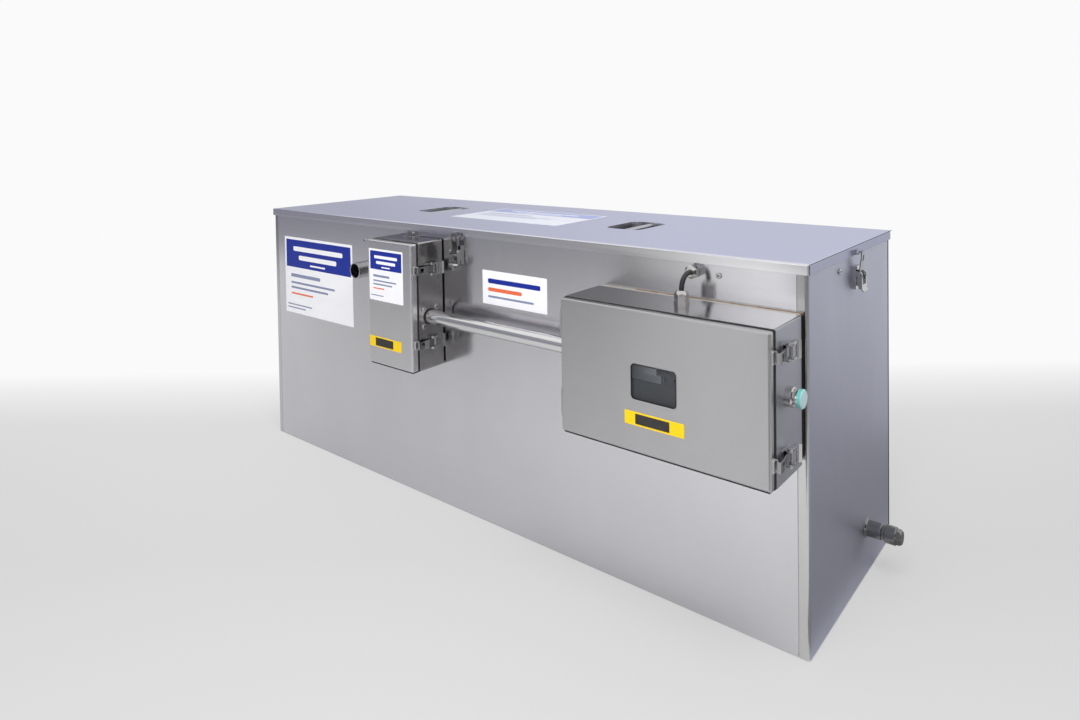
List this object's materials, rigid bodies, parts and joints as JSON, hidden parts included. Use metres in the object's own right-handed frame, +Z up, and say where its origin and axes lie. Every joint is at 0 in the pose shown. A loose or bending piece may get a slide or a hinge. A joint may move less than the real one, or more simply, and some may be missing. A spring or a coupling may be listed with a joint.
{
  "type": "grease trap",
  "caption": "Long stainless grease trap tank with lift-off lid, latched control and valve housings joined by a conduit, grease spout, pipe stubs and drain plug.",
  "frame": {"origin": "middle of the tank's base, on the floor", "axes": "+X along the tank's length to the drain end, -Y out of the front with the housings, +Z up"},
  "size_m": [1.4393, 0.569, 0.56],
  "materials": {
    "tank_steel": "fine brushed stainless sheet",
    "lid_steel": "fine brushed stainless sheet",
    "housing_steel": "brushed stainless sheet, bent edges",
    "inner_steel": "dull stainless sheet",
    "pipe_steel": "satin stainless tube",
    "heater_metal": "sheathed heating rod",
    "drain_steel": "dark turned steel",
    "valve_brass": "nickel plated brass",
    "nickel": "bright nickel plate",
    "rail_metal": "zinc plated steel",
    "latch_steel": "polished stainless",
    "rubber": "black rubber",
    "plate_paint": "pale painted steel",
    "pale_plastic": "moulded plastic",
    "grey_plastic": "moulded plastic",
    "dark_plastic": "moulded plastic",
    "glazing": "tinted acrylic",
    "button_lens": "translucent cap"
  },
  "bodies": {
    "tank": {"front_wall": "tank_steel", "back_wall": "tank_steel", "left_end": "tank_steel", "right_end": "tank_steel", "floor_pan": "tank_steel", "control_box": "housing_steel", "valve_box": "housing_steel", "hinge_leaves": "housing_steel", "inlet_baffle": "inner_steel", "outlet_baffle": "inner_steel", "basket_ledges": "inner_steel", "strainer_basket": "inner_steel", "skim_cup": "inner_steel", "inlet_pipe": "pipe_steel", "outlet_pipe": "pipe_steel", "grease_spout": "pipe_steel", "conduit_pipe": "pipe_steel", "heater_element": "heater_metal", "drain_socket": "drain_steel", "valve_body": "valve_brass", "box_gland": "nickel", "wall_gland": "nickel", "button_collar": "nickel", "din_rail": "rail_metal", "latch_bases": "latch_steel", "screws": "latch_steel", "control_gasket": "rubber", "valve_gasket": "rubber", "control_cable": "rubber", "mounting_plate": "plate_paint", "circuit_breaker": "pale_plastic", "terminal_strip": "pale_plastic", "timer_module": "grey_plastic", "contactor": "dark_plastic", "valve_actuator": "dark_plastic"},
    "lid": {"lid": "lid_steel", "lid_handles": "lid_steel", "lid_seal": "rubber"},
    "control_door": {"control_door": "housing_steel", "door_window": "glazing", "control_seal": "rubber"},
    "valve_door": {"valve_door": "housing_steel", "valve_seal": "rubber"},
    "start_button": {"start_button": "button_lens"},
    "drain_plug": {"drain_plug": "drain_steel"},
    "valve_ball": {"valve_ball": "valve_brass"},
    "front_latch_lever": {"front_latch_lever": "latch_steel"},
    "front_latch_hook": {"front_latch_hook": "latch_steel"},
    "right_latch_lever": {"right_latch_lever": "latch_steel"},
    "right_latch_hook": {"right_latch_hook": "latch_steel"},
    "left_latch_lever": {"left_latch_lever": "latch_steel"},
    "left_latch_hook": {"left_latch_hook": "latch_steel"},
    "control_upper_lever": {"control_upper_lever": "latch_steel"},
    "control_upper_hook": {"control_upper_hook": "latch_steel"},
    "control_lower_lever": {"control_lower_lever": "latch_steel"},
    "control_lower_hook": {"control_lower_hook": "latch_steel"},
    "valve_upper_lever": {"valve_upper_lever": "latch_steel"},
    "valve_upper_hook": {"valve_upper_hook": "latch_steel"},
    "valve_lower_lever": {"valve_lower_lever": "latch_steel"},
    "valve_lower_hook": {"valve_lower_hook": "latch_steel"}
  },
  "joints": [
    {"name": "lid_lift", "type": "slide", "parent": "tank", "child": "lid", "axis": [0, 0, 1], "range_m": [0, 0.3]},
    {"name": "control_door_swing", "type": "hinge", "parent": "tank", "child": "control_door", "pos_m": [0.3165, -0.3035, 0.385], "axis": [0, 0, -1], "range_deg": [0, 110]},
    {"name": "valve_door_swing", "type": "hinge", "parent": "tank", "child": "valve_door", "pos_m": [-0.1995, -0.2685, 0.409], "axis": [0, 0, -1], "range_deg": [0, 110]},
    {"name": "start_press", "type": "slide", "parent": "tank", "child": "start_button", "axis": [-1, 0, 0], "range_m": [0, 0.004], "stiffness_N_per_m": 600},
    {"name": "drain_plug_out", "type": "slide", "parent": "tank", "child": "drain_plug", "axis": [1, 0, 0], "range_m": [0, 0.04]},
    {"name": "valve_turn", "type": "hinge", "parent": "tank", "child": "valve_ball", "pos_m": [-0.128, -0.15, 0.454], "axis": [0, -1, 0], "range_deg": [0, 90]},
    {"name": "front_latch_lever_swing", "type": "hinge", "parent": "tank", "child": "front_latch_lever", "pos_m": [-0.017, -0.212, 0.514], "axis": [-1, 0, 0], "range_deg": [0, 110]},
    {"name": "front_latch_hook_swing", "type": "hinge", "parent": "front_latch_lever", "child": "front_latch_hook", "pos_m": [-0.017, -0.21075, 0.506], "axis": [-1, 0, 0], "range_deg": [-127, 0]},
    {"name": "right_latch_lever_swing", "type": "hinge", "parent": "tank", "child": "right_latch_lever", "pos_m": [0.677, 0.008, 0.514], "axis": [0, -1, 0], "range_deg": [0, 110]},
    {"name": "right_latch_hook_swing", "type": "hinge", "parent": "right_latch_lever", "child": "right_latch_hook", "pos_m": [0.67575, 0.008, 0.506], "axis": [0, -1, 0], "range_deg": [-127, 0]},
    {"name": "left_latch_lever_swing", "type": "hinge", "parent": "tank", "child": "left_latch_lever", "pos_m": [-0.677, 0.008, 0.514], "axis": [0, 1, 0], "range_deg": [0, 110]},
    {"name": "left_latch_hook_swing", "type": "hinge", "parent": "left_latch_lever", "child": "left_latch_hook", "pos_m": [-0.67575, 0.008, 0.506], "axis": [0, 1, 0], "range_deg": [-127, 0]},
    {"name": "control_upper_lever_swing", "type": "hinge", "parent": "tank", "child": "control_upper_lever", "pos_m": [0.668, -0.275, 0.455], "axis": [0, 0, -1], "range_deg": [0, 110]},
    {"name": "control_upper_hook_swing", "type": "hinge", "parent": "control_upper_lever", "child": "control_upper_hook", "pos_m": [0.66675, -0.267, 0.455], "axis": [0, 0, -1], "range_deg": [-127, 0]},
    {"name": "control_lower_lever_swing", "type": "hinge", "parent": "tank", "child": "control_lower_lever", "pos_m": [0.668, -0.275, 0.315], "axis": [0, 0, -1], "range_deg": [0, 110]},
    {"name": "control_lower_hook_swing", "type": "hinge", "parent": "control_lower_lever", "child": "control_lower_hook", "pos_m": [0.66675, -0.267, 0.315], "axis": [0, 0, -1], "range_deg": [-127, 0]},
    {"name": "valve_upper_lever_swing", "type": "hinge", "parent": "tank", "child": "valve_upper_lever", "pos_m": [-0.054, -0.24, 0.481], "axis": [0, 0, -1], "range_deg": [0, 110]},
    {"name": "valve_upper_hook_swing", "type": "hinge", "parent": "valve_upper_lever", "child": "valve_upper_hook", "pos_m": [-0.05525, -0.232, 0.481], "axis": [0, 0, -1], "range_deg": [-127, 0]},
    {"name": "valve_lower_lever_swing", "type": "hinge", "parent": "tank", "child": "valve_lower_lever", "pos_m": [-0.054, -0.24, 0.337], "axis": [0, 0, -1], "range_deg": [0, 110]},
    {"name": "valve_lower_hook_swing", "type": "hinge", "parent": "valve_lower_lever", "child": "valve_lower_hook", "pos_m": [-0.05525, -0.232, 0.337], "axis": [0, 0, -1], "range_deg": [-127, 0]}
  ],
  "couplings": [
    {"joint": "front_latch_hook_swing", "follows": "front_latch_lever_swing", "ratio": -1.15},
    {"joint": "right_latch_hook_swing", "follows": "right_latch_lever_swing", "ratio": -1.15},
    {"joint": "left_latch_hook_swing", "follows": "left_latch_lever_swing", "ratio": -1.15},
    {"joint": "control_upper_hook_swing", "follows": "control_upper_lever_swing", "ratio": -1.15},
    {"joint": "control_lower_hook_swing", "follows": "control_lower_lever_swing", "ratio": -1.15},
    {"joint": "valve_upper_hook_swing", "follows": "valve_upper_lever_swing", "ratio": -1.15},
    {"joint": "valve_lower_hook_swing", "follows": "valve_lower_lever_swing", "ratio": -1.15}
  ]
}
